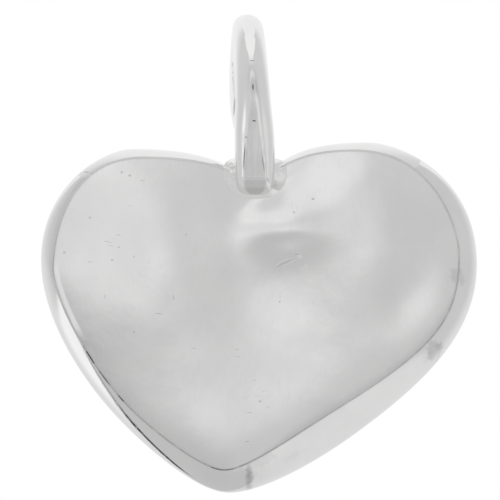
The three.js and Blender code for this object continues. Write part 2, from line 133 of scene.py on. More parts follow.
# Small flaws by kind, seen from the front: place, half sizes, turn in degrees, and the depth in hundredths
# of a millimetre, which is negative where metal stands up. For a dark patch it is only how dark it is.
FACE_FLAWS = {
    "pit": [
        (-9.15, 8.41, 0.1, 0.08, 0, 1.0), (-8.6, 8.2, 0.11, 0.09, 0, 1.2), (3.99, 6.6, 0.11, 0.08, 20, 1.3),
        (2.68, 5.69, 0.08, 0.08, 0, 1.0), (-11.35, 5.27, 0.1, 0.07, 40, 1.0),
        (-13.07, 2.82, 0.1, 0.1, 0, 1.0), (-4.75, 4.15, 0.09, 0.09, 0, 0.8),
        (-9.35, 3.25, 0.08, 0.08, 0, 0.9), (-9.8, 2.35, 0.09, 0.08, 0, 0.9),
        (-8.3, 2.6, 0.07, 0.07, 0, 0.5), (0.34, -7.52, 0.1, 0.09, 0, 1.2),
    ],
    "dent": [(-7.8, 7.85, 0.26, 0.1, 5, 0.5)],
    "dash": [
        (-8.6, 6.1, 0.2, 0.04, 0, -0.5), (-9.35, 4.1, 0.18, 0.05, 3, 0.6),
        (-10.1, 3.6, 0.3, 0.04, -12, 0.5), (-9.95, 3.35, 0.24, 0.04, -14, 0.4),
        (-11.3, 2.2, 0.2, 0.05, 10, 0.4), (-10.3, -0.2, 0.05, 0.16, 10, 0.5),
        (-4.2, -3.8, 0.2, 0.05, 0, 0.7), (-1.25, -3.9, 0.16, 0.05, -5, 0.6),
        (-1.2, -4.4, 0.2, 0.05, 0, 0.7), (-0.05, -6.05, 0.14, 0.04, 10, 0.6),
        (0.55, -6.8, 0.12, 0.04, 0, 0.6), (-0.4, -8.3, 0.2, 0.05, 3, 0.6), (0.85, -7.9, 0.1, 0.05, 0, 0.7),
    ],
    "scratch": [
        (-6.6, -1.37, 0.34, 0.05, -8, 1.2), (-5.6, -0.2, 0.05, 0.24, 4, 0.8),
        (-12.2, -3.2, 0.5, 0.05, -55, 0.6), (-0.55, -10.31, 0.24, 0.06, 10, 1.4),
    ],
    "bead": [
        (-0.7, -7.3, 0.12, 0.07, 0, -0.9), (0.1, -7.15, 0.16, 0.05, -8, -0.7),
        (-1.7, -8.75, 0.14, 0.05, 0, -0.7), (3.1, 2.55, 0.15, 0.12, 0, -3.0),
        (3.44, 1.85, 0.15, 0.09, 30, -2.5),
    ],
    # A crease is also painted darker along its groove, as painted shade
    "crease": [
        (2.05, 2.15, 0.95, 0.18, 25, 0.55), (2.85, 2.75, 0.14, 0.14, 60, 1.0),
    ],
    "smudge": [
        (13.7, 1.2, 0.45, 0.7, 10, 0.7), (-11.35, -4.4, 0.6, 0.07, -56, 3.0),
    ],
}
WALL_FLAWS = {
    "nick": [
        (-11.6, 8.5, 0.3, 0.05, -20, 3.0), (-11.25, 8.3, 0.06, 0.12, 20, 2.5),
    ],
    "smudge": [
        (12.3, -3.9, 0.65, 0.85, 30, 0.9), (12.6, -3.55, 0.4, 0.3, 30, 1.4),
        (12.1, -4.2, 0.3, 0.36, 0, 1.1), (14.0, 1.2, 0.45, 0.8, 10, 0.7), (0.5, -11.6, 1.1, 0.4, 25, 0.4),
        (2.6, -11.2, 0.9, 0.3, 28, 0.25),
    ],
    "pit": [(-13.4, 5.9, 0.07, 0.07, 0, 1.2)],
}
SEAM_FLAWS = {
    "smudge": [
        (-11.35, -4.45, 0.9, 0.3, -56, 4.5), (-10.3, -5.9, 0.9, 0.3, -54, 3.5),
        (-9.1, -7.2, 0.5, 0.3, -50, 4.0), (-2.2, -12.1, 1.1, 0.3, 2, 3.0), (-0.8, -11.7, 0.6, 0.3, 25, 3.0),
    ],
}
WIRE_FLAWS = {
    "nick": [
        (-0.14, 13.95, 0.06, 0.34, 2, 4.5), (-0.05, 11.6, 0.17, 0.06, -12, 5.0),
        (-0.62, 10.5, 0.1, 0.06, 20, 3.5), (-0.2, 15.85, 0.24, 0.045, 0, 3.5),
    ],
    "scratch along the flat": [
        (-0.74, 9.2, 0.06, 1.0, -4, 3.5), (0.56, 8.7, 0.04, 0.7, 8, 2.0),
    ],
}
# Painted shade on the rear leg: two long dark strokes, with no depth
REAR_LEG_PAINTED_SHADE = {
    "smudge": [
        (-1.55, 16.4, 0.08, 1.5, 2, 1.5), (-1.42, 14.2, 0.08, 0.8, -4, 2.0),
    ],
}
# Where those flaws lie from front to back: the heart's front, the front leg and the rear leg
FLAW_REACH = 2.6
HEART_Y, LEG_Y, REAR_LEG_Y = -2.4, -4.2, 3.5
FLAW_RAGGEDNESS, DARK_PATCH_RAGGEDNESS = 0.5, 1.6
FULLY_DARK_AT = 5

# The finish: how bright a place is beside clean silver, how deep and dark the scattered specks are, and
# the painted shade beside the seam and the rim that is worn down beside it
WARMTH = 0.995
CLOUD_SHADE = 0.96
STAIN_AND_SHADE_TONE = 0.6
SEAM_SHADE_TONE = 0.45
FLAW_SHADE = 0.12
SPECK_DEPTH = 0.02
SPECK_DARKNESS = 0.5
SCRATCH_DULLNESS = 0.08
LEAST_SEAM_SHADE_REACH = 0.1
SEAM_SHADE_STRENGTH = 0.26
RUBBED_REACH = 0.45

# The loop: a forged wire from its front foot over the crown to its rear foot. Its sizes change along it,
# and each is given at a few shares of the way.
EYE_HEIGHT = 9.25
CROWN_RISE = 5.25
LEG_BOW = 0.35
FRONT_FOOT_LAP = 1.95
REAR_FOOT_LAP = 3.15
FOOT_ROUNDING = 1.1
LOOP_WIDTH = [(0, 2.5), (0.12, 2.76), (0.25, 2.42), (0.36, 2.25), (0.48, 2.06), (0.75, 1.85), (1, 2.0)]
LOOP_THICKNESS = [(0, 1.5), (0.12, 1.7), (0.48, 1.9), (0.8, 1.65), (1, 1.4)]
LOOP_FACET = [(0, 0.17), (0.05, 0.15), (0.12, 0.095), (0.2, 0.045), (0.27, 0.016), (0.33, 0), (1, 0)]
LOOP_LEAN = [
    (0, 0), (0.17, -0.05), (0.35, -0.3), (0.48, -0.55), (0.62, -0.82),
    (0.68, -0.77), (0.75, -0.42), (0.84, -0.12), (0.93, 0), (1, 0),
]
CURVE_TOP = 4.0
FACET_EASING = 0.035
LEG_STEPS = 40
CROWN_STEPS = 120
FILLET_RINGS = 40
FILLET_POINTS = 120

wall_low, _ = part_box("side_wall")
LEFTMOST = GIRTH_KNOTS[2][1]
LOWEST = GIRTH_KNOTS[TIP][2]
HEART_CENTRE = np.array(wall_low) / MM - np.array([LEFTMOST, -FACE_DEPTH, LOWEST])


def in_frame(points):
    """Points about the heart's centre, in millimetres, as points in the frame, in metres."""
    return (np.asarray(points, float) + HEART_CENTRE) * MM


# Outlines


def heading(degrees):
    angle = math.radians(degrees)
    return np.array([math.cos(angle), math.sin(angle)])


def eased(line, length, reach=EASING):
    """A closed line with its sudden changes of bend spread over a short reach, as filing leaves them."""
    waves = np.fft.rfftfreq(len(line), length / len(line))
    keep = np.exp(-2 * (math.pi * reach * waves) ** 2)
    return np.fft.irfft(np.fft.rfft(line, axis=0) * keep[:, None], len(line), axis=0)


def read_off(at, arc, line):
    """The points of a line at those places along it."""
    return np.stack([np.interp(at, arc, line[:, k]) for k in (0, 1)], axis=1)


def trace(knots):
    """The closed outline through the knots, at even steps, with the places of its knots along it."""
    t = np.linspace(0, 1, TRACE_STEPS, endpoint=False)[:, None]
    stretches = []
    for knot, following in zip(knots, knots[1:] + knots[:1]):
        start, end = np.array(knot[1:3]), np.array(following[1:3])
        leave = start + heading(knot[3]) * knot[5]
        arrive = end - heading(following[3]) * following[4]
        stretches.append(
            (1 - t) ** 3 * start + 3 * (1 - t) ** 2 * t * leave + 3 * (1 - t) * t**2 * arrive + t**3 * end
        )
    closed = np.vstack(stretches + [stretches[0][:1]])
    arc = np.concatenate([[0], np.cumsum(np.linalg.norm(np.diff(closed, axis=0), axis=1))])
    line = read_off(np.linspace(0, arc[-1], EVEN_STEPS, endpoint=False), arc, closed)
    return {"line": eased(line, arc[-1]), "length": arc[-1], "knots_at": arc[::TRACE_STEPS]}


def ring_places(outline):
    """Where every ring has its points: a stretch and a share of it, with the wall's joint marked."""
    places = []
    for stretch, (start, end) in enumerate(zip(outline["knots_at"], outline["knots_at"][1:])):
        count = round((end - start) / RING_STEP)
        places += [(stretch + j / count, None) for j in range(count)]
        if stretch == TIP:
            half = JOINT_WIDTH / 2
            for side, off in enumerate((-half - CLEARANCE, -half, half, half + CLEARANCE)):
                places.append((stretch + (JOINT_FROM_TIP + off) / (end - start), side))
    places.sort(key=lambda place: place[0])
    joint = {side: i for i, (_, side) in enumerate(places) if side is not None}
    return np.array([at for at, _ in places]), joint


def on_outline(outline, places):
    """The outline's points at those places, and which way is outwards there."""
    arc = np.interp(places, np.arange(len(outline["knots_at"])), outline["knots_at"])
    line = outline["line"]
    even = np.linspace(0, outline["length"], len(line) + 1)
    tangent = np.roll(line, -1, axis=0) - np.roll(line, 1, axis=0)
    tangent /= np.linalg.norm(tangent, axis=1)[:, None]
    outward = np.stack([tangent[:, 1], -tangent[:, 0]], axis=1)
    return [read_off(arc, even, np.vstack([values, values[:1]])) for values in (line, outward)]


girth_line, face_line = trace(GIRTH_KNOTS), trace(FACE_KNOTS)
places, joint_at = ring_places(girth_line)
girth, girth_out = on_outline(girth_line, places)
face_edge, face_out = on_outline(face_line, places)
face_edge = face_edge + face_out * EDGE_GROWTH
back_edge = girth - girth_out * BACK_INSET
RING = len(places)


def at_depth(flat, y):
    return np.stack([flat[:, 0], np.broadcast_to(y, len(flat)), flat[:, 1]], axis=1)


def ring(flat, out, inset, y):
    """One ring of points, that far inside a flat outline, at the depth y."""
    return at_depth(flat - out * inset, y)


def ring_between(flat_a, flat_b, share, inset, y):
    a, b = ring(flat_a, girth_out, inset, y), ring(flat_b, girth_out, inset, y)
    return a + (b - a) * share


# Meshes


def strip_faces(rows, columns, closed=True):
    """Faces of a grid of rows by columns. A closed grid joins its last column to its first."""
    faces = []
    for r in range(rows - 1):
        for c in range(columns if closed else columns - 1):
            d = (c + 1) % columns
            faces.append((r * columns + c, (r + 1) * columns + c, (r + 1) * columns + d, r * columns + d))
    return faces


def clean(mesh, crease):
    """The mesh with its doubles merged and its faces pointing out, smooth but for its creases."""
    shape = bmesh.new()
    shape.from_mesh(mesh)
    bmesh.ops.remove_doubles(shape, verts=shape.verts, dist=MERGE_DISTANCE)
    bmesh.ops.recalc_face_normals(shape, faces=shape.faces)
    shape.to_mesh(mesh)
    shape.free()
    mesh.shade_smooth()
    mesh.set_sharp_from_angle(angle=math.radians(crease))
    return mesh


def raw_mesh(name, points, edges, faces):
    mesh = bpy.data.meshes.new(name)
    mesh.from_pydata(points, edges, faces)
    return mesh


def make_mesh(name, points, faces, crease=35):
    """A closed mesh of points about the heart's centre."""
    return clean(raw_mesh(name, in_frame(points).tolist(), [], faces), crease)


def add_object(name, data):
    thing = bpy.data.objects.new(name, data)
    bpy.context.scene.collection.objects.link(thing)
    return thing


def add_piece(name, mesh, material, node):
    """Puts a finished mesh in the scene in the place of its CAD node."""
    piece = add_object(name, mesh)
    mesh.materials.clear()
    mesh.materials.append(material)
    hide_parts(node)
    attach(piece, "root")


def corner(flat, out, inset, y, towards_y, side=1):
    """A small rounding from a surface that faces along Y to a wall at that inset.

    Its side is 1 where the metal lies inside the wall, and -1 where it lies outside it.
    """
    rings = []
    for k in range(EDGE_STEPS + 1):
        angle = math.pi / 2 * k / EDGE_STEPS
        inward = side * EDGE_RADIUS * (1 - math.sin(angle))
        deeper = towards_y * EDGE_RADIUS * (1 - math.cos(angle))
        rings.append(ring(flat, out, inset + inward, y + deeper))
    return rings


# The face


def hammer_depth(x, z):
    total = np.zeros_like(x)
    for _, mark_x, mark_z, across, along, turn, depth in HAMMER_MARKS:
        cos, sin = heading(turn)
        dx, dz = x - mark_x, z - mark_z
        u, v = (dx * cos + dz * sin) / across, (dz * cos - dx * sin) / along
        total += depth * np.exp(-(u * u + v * v))
    return total


def from_rim(x, z):
    """How far a place on the face is from the rim, eased so that no ridge forms in the middle."""
    rim = face_edge
    step = np.linalg.norm(np.roll(rim, -1, axis=0) - np.roll(rim, 1, axis=0), axis=1) / 2
    pull = np.zeros_like(x)
    for (rim_x, rim_z), length in zip(rim, step):
        pull += length / ((x - rim_x) ** 2 + (z - rim_z) ** 2 + 1e-6) ** 1.5
    return np.sqrt(2 / pull)


def face_surface(x, z):
    away = from_rim(x, z)
    dish = DISH_DEPTH * (1 - np.exp(-away / DISH_FALL))
    return -FACE_DEPTH + dish + hammer_depth(x, z) * (1 - np.exp(-away / MARK_FALL))


def face_rings(reaches, rise=0.0):
    rim = face_edge - face_out * (PLATE_INSET + EDGE_RADIUS)
    rings = [DISH_CENTRE + (rim - DISH_CENTRE) * reach for reach in reaches]
    return [at_depth(flat, face_surface(flat[:, 0], flat[:, 1]) + rise) for flat in rings]


def hammered_face():
    """The dished sheet: its hammered front, a small rounding at the rim, its edge and its underside."""
    front = face_rings(np.linspace(0, 1, FACE_RINGS) ** 0.9)
    edge = corner(face_edge, face_out, PLATE_INSET, -FACE_DEPTH, 1)
    lower = [ring(face_edge, face_out, PLATE_INSET, -FACE_DEPTH + PLATE_THICKNESS)]
    under = face_rings([1, 0.9, 0.7, 0.5, 0.3, 0.1, 0], PLATE_THICKNESS)
    rings = front + edge[1:] + lower + under
    return make_mesh("hammered_face", np.vstack(rings), strip_faces(len(rings), RING))


# The wall


def wall_side(edge, depth, shoulder, count):
    """The outside of the wall from the girth to the edge of a sheet, over its rounded shoulder."""
    lean = math.sin(shoulder)
    rings = []
    for angle in np.linspace(math.pi / 2, shoulder, count):
        share = (1 - math.sin(angle)) / (1 - lean)
        rings.append(ring_between(girth, edge, share, 0, depth * math.cos(angle) / math.cos(shoulder)))
    return rings


def wall_rings():
    ledge = PLATE_INSET + PLATE_LEDGE
    seat_y = -FACE_DEPTH + PLATE_THICKNESS + CLEARANCE
    back_y = BACK_DEPTH - PLATE_THICKNESS - CLEARANCE
    under = ring(face_edge, face_out, ledge, 0)
    under[:, 1] = face_surface(under[:, 0], under[:, 2]) + PLATE_THICKNESS + CLEARANCE
    halfway = (WALL_THICKNESS + BACK_INSET + ledge) / 2
    return [
        *wall_side(face_edge, -FACE_DEPTH, FACE_SHOULDER, WALL_FRONT_RINGS)[::-1],
        *wall_side(back_edge, BACK_DEPTH, BACK_SHOULDER, WALL_BACK_RINGS)[1:],
        *corner(back_edge, girth_out, WALL_LAND, BACK_DEPTH, -1, side=-1),
        ring(back_edge, girth_out, WALL_LAND, back_y),
        ring(back_edge, girth_out, ledge, back_y),
        ring(girth, girth_out, halfway, back_y / 2),
        ring(girth, girth_out, WALL_THICKNESS, 0),
        ring_between(face_edge, girth, 0.5, WALL_THICKNESS, seat_y / 2),
        under,
        ring(face_edge, face_out, WALL_LAND, seat_y),
        *corner(face_edge, face_out, WALL_LAND, -FACE_DEPTH, 1, side=-1)[::-1],
    ]


def wall_piece(name, first, count):
    """The part of the wall with that many ring points from the first one on, capped at both ends."""
    picked = (first + np.arange(count)) % RING
    rows = [points[picked] for points in wall_rings()]
    size = len(rows)
    faces = strip_faces(size, count, closed=False)
    for c in range(count - 1):
        faces.append(((size - 1) * count + c, c, c + 1, (size - 1) * count + c + 1))
    faces.append(tuple(r * count for r in range(size)))
    faces.append(tuple(r * count + count - 1 for r in range(size - 1, -1, -1)))
    return make_mesh(name, np.vstack(rows), faces)


def note_seam(mesh):
    """Notes on each point how far it lies from the face seam, which the finish reads."""
    seam = KDTree(RING)
    for i, place in enumerate(in_frame(ring(face_edge, face_out, SEAM_INSET, -FACE_DEPTH))):
        seam.insert(place, i)
    seam.balance()
    away = [seam.find(vertex.co)[2] for vertex in mesh.vertices]
    mesh.attributes.new("beside_seam", "FLOAT", "POINT").data.foreach_set("value", away)


def back_hollows(points, fade):
    """How far the flattened sheet lies below its rim, in soft shallow hollows."""
    waves = [noise.noise(Vector((0.22 * x, 0.22 * z, 1.7))) for x, z in points]
    return BACK_HOLLOWS * (0.5 + np.array(waves)) * min(3 * fade, 1.0)


def back_sheet():
    """The flat back, as rings from the vent hole out to the rim."""
    rim = back_edge - girth_out * (PLATE_INSET + EDGE_RADIUS)
    bearing = rim - VENT_AT
    vent = VENT_AT + bearing / np.linalg.norm(bearing, axis=1)[:, None] * VENT_RADIUS
    top = []
    for share in np.linspace(0, 1, BACK_RINGS) ** 1.2:
        flat = vent + (rim - vent) * share
        top.append(at_depth(flat, BACK_DEPTH - back_hollows(flat, 1 - share)))
    edge = corner(back_edge, girth_out, PLATE_INSET, BACK_DEPTH, -1)
    under_y = BACK_DEPTH - PLATE_THICKNESS
    under = [ring(back_edge, girth_out, PLATE_INSET, under_y), at_depth(vent, under_y)]
    rings = top + edge[1:] + under + top[:1]
    return make_mesh("back_sheet", np.vstack(rings), strip_faces(len(rings), RING))


# Nodes


class Value:
    """What a socket puts out. Sums and products of values become math nodes."""

    def __init__(self, tree, socket):
        self.tree = tree
        self.socket = socket

    def __add__(self, other):
        return calc("ADD", self, other)

    def __sub__(self, other):
        return calc("SUBTRACT", self, other)

    def __rsub__(self, other):
        return calc("SUBTRACT", other, self)

    def __mul__(self, other):
        return calc("MULTIPLY", self, other)

    def __truediv__(self, other):
        return calc("DIVIDE", self, other)

    __radd__ = __add__


def add_node(tree, kind, inputs=(), **settings):
    """Adds a node with its settings, and fills or links its inputs, given by place or by name."""
    node = tree.nodes.new(kind)
    for name, value in settings.items():
        setattr(node, name, value)
    pairs = inputs.items() if isinstance(inputs, dict) else enumerate(inputs)
    for key, value in pairs:
        if isinstance(value, Value):
            tree.links.new(value.socket, node.inputs[key])
        else:
            node.inputs[key].default_value = value
    return node


def result(tree, kind, inputs=(), output=0, **settings):
    """What a new node puts out."""
    return Value(tree, add_node(tree, kind, inputs, **settings).outputs[output])


def results(tree, kind, inputs=(), **settings):
    """All that a new node puts out, by name."""
    return {socket.name: Value(tree, socket) for socket in add_node(tree, kind, inputs, **settings).outputs}


def tree_of(values):
    return next(value.tree for value in values if isinstance(value, Value))


def calc(operation, *values):
    return result(tree_of(values), "ShaderNodeMath", values, operation=operation)


def vector_calc(operation, *values):
    output = "Value" if operation in ("LENGTH", "DOT_PRODUCT") else "Vector"
    return result(tree_of(values), "ShaderNodeVectorMath", values, output, operation=operation)


def parts(vector):
    """How far a vector goes along x, y and z."""
    return results(vector.tree, "ShaderNodeSeparateXYZ", [vector]).values()


def ramp(value, low, high, to_low=0.0, to_high=1.0):
    """A smooth change from one value to another as the input goes from low to high."""
    if low > high:
        low, high, to_low, to_high = high, low, to_high, to_low
    inputs = [value, low, high, to_low, to_high]
    return result(value.tree, "ShaderNodeMapRange", inputs, interpolation_type="SMOOTHSTEP")


def bell(value):
    """One where the value is nothing, and softly less on both sides."""
    return calc("EXPONENT", value * value * -1.0)


def between(a, b, share):
    return a + (b - a) * share


def grain(place, scale, detail=2.0, roughness=0.5):
    inputs = {"Vector": place, "Scale": scale, "Detail": detail, "Roughness": roughness}
    return result(place.tree, "ShaderNodeTexNoise", inputs)


def from_heart(position):
    """The place about the heart's centre, in metres, and its ways across and up, in millimetres."""
    place = vector_calc("SUBTRACT", position, tuple(in_frame((0, 0, 0))))
    x, _, z = parts(place)
    return place, x / MM, z / MM


FLOAT, GEOMETRY, ORIGIN = "NodeSocketFloat", "NodeSocketGeometry", (0.0, 0.0, 0.0)
SOCKETS = {float: FLOAT, int: "NodeSocketInt", tuple: "NodeSocketVector", type(None): GEOMETRY}


def make_group(name, kind, inputs):
    """A node group and its inputs, which are given by name with their first values."""
    group = bpy.data.node_groups.new(name, kind)
    for socket_name, value in inputs.items():
        socket = group.interface.new_socket(socket_name, in_out="INPUT", socket_type=SOCKETS[type(value)])
        if value is not None:
            socket.default_value = value
    return group, results(group, "NodeGroupInput")


def put_out(group, values, kind=FLOAT):
    """Ends a group with its outputs, given by name."""
    for name in values:
        group.interface.new_socket(name, in_out="OUTPUT", socket_type=kind)
    add_node(group, "NodeGroupOutput", values)
    return group


def make_effect(name, inputs):
    """A shader group for an effect on the metal."""
    return make_group(name, "ShaderNodeTree", {"Position": ORIGIN, **inputs})


def use_effect(effect, position, inputs):
    return results(position.tree, "ShaderNodeGroup", {"Position": position, **inputs}, node_tree=effect)


def empty_tree(owner):
    owner.use_nodes = True
    owner.node_tree.nodes.clear()
    return owner.node_tree


def new_material(name):
    """An empty material, its tree, and the place on the object."""
    material = bpy.data.materials.new(name)
    tree = empty_tree(material)
    return material, tree, result(tree, "ShaderNodeTexCoord", output="Object")


# The finish


def hand_polish_group():
    """What a polishing cloth leaves: soft ripples, short fine scratches, and a cloudy shine."""
    inputs = {"Ripple": 0.012, "Ripple scale": 500.0, "Scratches": 0.0006}
    group, given = make_effect("hand_polish", inputs)
    position = given["Position"]
    scratches = 0.0
    for turn, seed in ((0.5, 0.0), (-0.7, 0.31), (1.35, 0.67)):
        inputs = {"Location": (seed, 0, seed), "Rotation": (0, turn, 0), "Scale": (9000, 900, 1100)}
        turned = result(group, "ShaderNodeMapping", {"Vector": position, **inputs})
        scratches = calc("MAXIMUM", scratches, ramp(grain(turned, 1.0, detail=0.0), 0.73, 0.8))
    ripple = grain(position, given["Ripple scale"], detail=3.0)
    height = ripple * given["Ripple"] - scratches * given["Scratches"]
    cloud = grain(position, 260.0, detail=4.0, roughness=0.6)
    return put_out(group, {"Height": height, "Scratch mask": scratches, "Cloud": cloud})


def pits_group():
    """Scattered small pits, as the metal has here and there."""
    group, given = make_effect("casting_pits", {"Spacing": 900.0, "Radius": 0.05, "Share": 0.2})
    cells = results(group, "ShaderNodeTexVoronoi", {"Vector": given["Position"], "Scale": given["Spacing"]})
    chance = result(group, "ShaderNodeSeparateColor", [cells["Color"]])
    chosen = calc("LESS_THAN", chance, given["Share"])
    return put_out(group, {"Mask": chosen * ramp(cells["Distance"] / given["Radius"], 1.0, 0.4)})


def flaw_group():
    """One small oval flaw with a ragged outline at a place."""
    inputs = {"Place": ORIGIN, "Size": ORIGIN, "Turn": 0.0, "Raggedness": 0.0}
    group, given = make_effect("small_flaw", inputs)
    away = vector_calc("SUBTRACT", given["Position"], given["Place"])
    inputs = {"Vector": away, "Angle": given["Turn"]}
    turned = result(group, "ShaderNodeVectorRotate", inputs, rotation_type="Y_AXIS")
    reach = vector_calc("LENGTH", vector_calc("DIVIDE", turned, given["Size"]))
    ragged = (grain(given["Position"], 2600.0) - 0.5) * given["Raggedness"]
    return put_out(group, {"Mask": ramp(reach + ragged, 1.0, 0.5)})


def shade_beside_seam_group():
    """Painted shade beside the face seam, reaching wider at the left flank and the lower right, and how far
    the rim is worn down at the lower left.
    """
    inputs = {"Away": 0.0, "Left reach": 0.0, "Low right reach": 0.0, "Rubbed depth": 0.0}
    group, given = make_effect("seam_shade_effect", inputs)
    place, x, z = from_heart(given["Position"])
    away = given["Away"] / MM
    left = ramp(x, -9, -12) * ramp(z, -1, 2) * given["Left reach"]
    right = ramp(x, 0, 3) * ramp(z, 1, -3) * given["Low right reach"]
    reach = (left + right + LEAST_SEAM_SHADE_REACH) * (grain(place, 1500.0, detail=3.0) + 0.5)
    # Painted shade: the silver is darkened close to the seam, fading away from it
    seam_shading = bell(away / reach) * SEAM_SHADE_STRENGTH
    stretch = ramp(z, 2.6, 0.8) * ramp(z, -3.6, -1.8) * ramp(x, -8, -9)
    edge = calc("POWER", calc("MAXIMUM", 1.0 - away / RUBBED_REACH, 0.0), 1.5)
    return put_out(group, {"Mask": seam_shading, "Rubbed": stretch * edge * given["Rubbed depth"]})


HAND_POLISH = hand_polish_group()
PITS = pits_group()
FLAW = flaw_group()
SHADE_BESIDE_SEAM = shade_beside_seam_group()


def flaws(position, kinds, y):
    """How deep all those small flaws are, in millimetres, and how dark. A dark patch is only dark."""
    depth, dark = 0.0, 0.0
    rows = [(kind, *row) for kind in kinds for row in kinds[kind]]
    for kind, x, z, across, along, turn, hundredths in rows:
        inputs = {
            "Place": tuple(in_frame((x, y, z))),
            "Size": (across * MM, FLAW_REACH * MM, along * MM),
            "Turn": math.radians(turn),
            "Raggedness": DARK_PATCH_RAGGEDNESS if kind == "smudge" else FLAW_RAGGEDNESS,
        }
        mask = use_effect(FLAW, position, inputs)["Mask"]
        if kind != "smudge":
            depth += mask * (hundredths / 100)
        if hundredths > 0:
            dark = calc("MAXIMUM", dark, mask * min(hundredths / FULLY_DARK_AT, 1.0))
    return depth, dark


# Where a mix node has its share, its two colours and their mixture
MIX_SHARE, MIX_FROM, MIX_TO, MIXTURE = 0, 6, 7, 2


def mix_grey(share, colour, grey):
    inputs = {MIX_SHARE: share, MIX_FROM: colour, MIX_TO: (grey, grey, grey, 1)}
    return result(share.tree, "ShaderNodeMix", inputs, MIXTURE, data_type="RGBA")


def noted(tree, name):
    """What the mesh notes on its points under that name."""
    return result(tree, "ShaderNodeAttribute", output="Fac", attribute_name=name)


def silver(
    name, bright=0.86, gloss=(0.04, 0.08), ripple=0.012, ripple_scale=500.0, pits=0.1,
    marks=(), forged=0.0, stain_and_shade=None, flat_painted_shade=0.0, shade_by_seam=None,
):
    """Polished silver: nearly even in tone, a little cloudy, with ripples, scratches, pits and flaws."""
    material, tree, position = new_material(name)
    polish = use_effect(HAND_POLISH, position, {"Ripple": ripple, "Ripple scale": ripple_scale})
    specks = use_effect(PITS, position, {"Share": pits})["Mask"]
    depth, dark = specks * SPECK_DEPTH, specks * SPECK_DARKNESS
    for kinds, y in marks:
        more_depth, more_dark = flaws(position, kinds, y)
        depth, dark = depth + more_depth, calc("MAXIMUM", dark, more_dark)
    cloud = ramp(polish["Cloud"], 0.35, 0.7)
    tone = mix_grey(cloud, (bright, bright, bright * WARMTH, 1), bright * CLOUD_SHADE)
    # A stain mask darkens the silver: the real stain at the wall's joint, and painted shade on the seam
    if stain_and_shade:
        tone = mix_grey(stain_and_shade(position), tone, bright * STAIN_AND_SHADE_TONE)
    tone = mix_grey(dark, tone, bright * FLAW_SHADE)
    # Painted shade darkens the silver beside the face seam
    if shade_by_seam:
        seam_shading = use_effect(SHADE_BESIDE_SEAM, position, {"Away": noted(tree, "beside_seam"), **shade_by_seam})
        tone = mix_grey(seam_shading["Mask"], tone, bright * SEAM_SHADE_TONE)
        depth += seam_shading["Rubbed"]
    # Painted shade: the filed flat of the wire is darkened towards black
    if flat_painted_shade:
        tone = mix_grey(noted(tree, "flat") * flat_painted_shade, tone, 0.0)
    roughness = ramp(polish["Cloud"], 0.3, 0.7, *gloss) + polish["Scratch mask"] * SCRATCH_DULLNESS
    height = polish["Height"] - depth
    if forged:
        # Long soft lines along the wire, as the hammer and the file leave them
        stretched = result(tree, "ShaderNodeMapping", {"Vector": position, "Scale": (2600, 900, 150)})
        height += grain(stretched, 1.0) * forged
    bump = result(tree, "ShaderNodeBump", {"Strength": 1.0, "Distance": MM, "Height": height})
    inputs = {"Base Color": tone, "Metallic": 1.0, "Roughness": roughness, "Normal": bump}
    shader = result(tree, "ShaderNodeBsdfPrincipled", inputs)
    add_node(tree, "ShaderNodeOutputMaterial", {"Surface": shader})
    return material


def joint_stain(position):
    """A soft dark stain on the wall where its ends were joined."""
    place, size = tuple(in_frame((-0.42, 0, -12.4))), (0.3 * MM, 6 * MM, 1.6 * MM)
    away = vector_calc("SUBTRACT", position, place)
    reach = vector_calc("LENGTH", vector_calc("DIVIDE", away, size))
    return ramp(reach + grain(position, 2200.0), 1.6, 0.7) * 0.9


def painted_seam_darkening(position):
    """How dark the seam is painted: painted shade makes it darkest towards the bottom and the lower left, a
    little darker at the right flank, clean at the top and lighter at the left flank, with uneven grain.
    """
    place, x, z = from_heart(position)
    low = ramp(z, 9, -3) * ramp(x, 8, -2, 0.6, 1.0)
    right = ramp(x, 8, 12) * ramp(z, 10, 7) * 0.35
    less_shade_left = ramp(x, -8, -9) * ramp(z, -4.4, -3.2) * ramp(z, 2, 0) * 0.5
    return (low + right - less_shade_left) * ramp(grain(place, 1100.0, detail=3.0), 0.3, 0.6, 0.65, 1.15)


# Geometry made by nodes: the loop and the solder seams


def float_curve(share, stations):
    """A size along the loop, in metres, from its stations in millimetres."""
    node = add_node(share.tree, "ShaderNodeFloatCurve", {"Value": share})
    node.mapping.use_clip = False
    points = node.mapping.curves[0].points
    for at, size in stations[len(points):]:
        points.new(at, size / CURVE_TOP)
    for point, (at, size) in zip(points, stations):
        point.location = (at, size / CURVE_TOP)
        point.handle_type = "AUTO"
    node.mapping.update()
    return Value(share.tree, node.outputs[0]) * (CURVE_TOP * MM)


def loop_inside():
    """The line along the inside of the loop, from the front foot over the eye to the rear foot."""
    cleft = GIRTH_KNOTS[0][2]
    front_y, back_y = -FACE_DEPTH - CLEARANCE, BACK_DEPTH + CLEARANCE
    spring = cleft + EYE_HEIGHT - CROWN_RISE
    middle, reach = (front_y + back_y) / 2, (back_y - front_y) / 2 + LEG_BOW

    def leg(lap, y, side, share):
        height = cleft - lap + (spring - cleft + lap) * share
        t = min(max((height - cleft) / (spring - cleft), 0), 1)
        return (0, y + side * LEG_BOW * t * t * (3 - 2 * t), height)

    shares = [k / LEG_STEPS for k in range(LEG_STEPS)]
    angles = [math.pi * k / CROWN_STEPS for k in range(CROWN_STEPS + 1)]
    return [
        *(leg(FRONT_FOOT_LAP, front_y, -1, share) for share in shares),
        *((0, middle - reach * math.cos(a), spring + CROWN_RISE * math.sin(a)) for a in angles),
        *(leg(REAR_FOOT_LAP, back_y, 1, share) for share in shares[::-1]),
    ]


def worked(geometry, *steps):
    """The geometry after several nodes, each given by the end of its kind and its inputs."""
    for kind, inputs in steps:
        geometry = result(geometry.tree, "GeometryNode" + kind, {"Geometry": geometry, **inputs})
    return geometry


